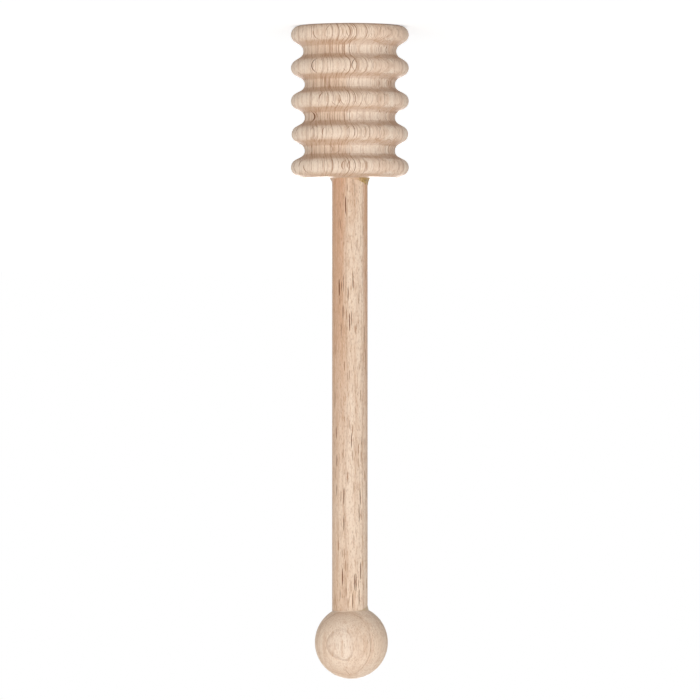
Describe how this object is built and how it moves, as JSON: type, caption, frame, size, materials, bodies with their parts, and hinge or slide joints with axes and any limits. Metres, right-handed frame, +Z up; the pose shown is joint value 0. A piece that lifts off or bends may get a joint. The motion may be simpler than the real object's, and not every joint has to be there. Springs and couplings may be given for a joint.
{
  "type": "honey dipper",
  "caption": "Wooden honey dipper: a ridged and grooved turned head on a straight dowel handle with a ball knob, glued together.",
  "frame": {"origin": "centre of the flat end of the head, on which the dipper stands", "axes": "+Z up along the handle from the head to the ball; the picture looks along +Y, turned upside down, so its right is -X and its bottom is +Z"},
  "size_m": [0.0288, 0.0288, 0.16],
  "materials": {
    "head_beech": "raw turned beech, unfinished, fine sanded",
    "dowel_beech": "raw beech dowel, unfinished, with short brown ray flecks",
    "ball_beech": "raw turned beech, unfinished, fine sanded",
    "dried_glue": "dried wood glue, yellow-brown, slightly glossy"
  },
  "bodies": {
    "root": {"dipper_head": "head_beech", "handle_dowel": "dowel_beech", "end_ball": "ball_beech", "head_glue": "dried_glue", "ball_glue": "dried_glue"}
  },
  "joints": []
}
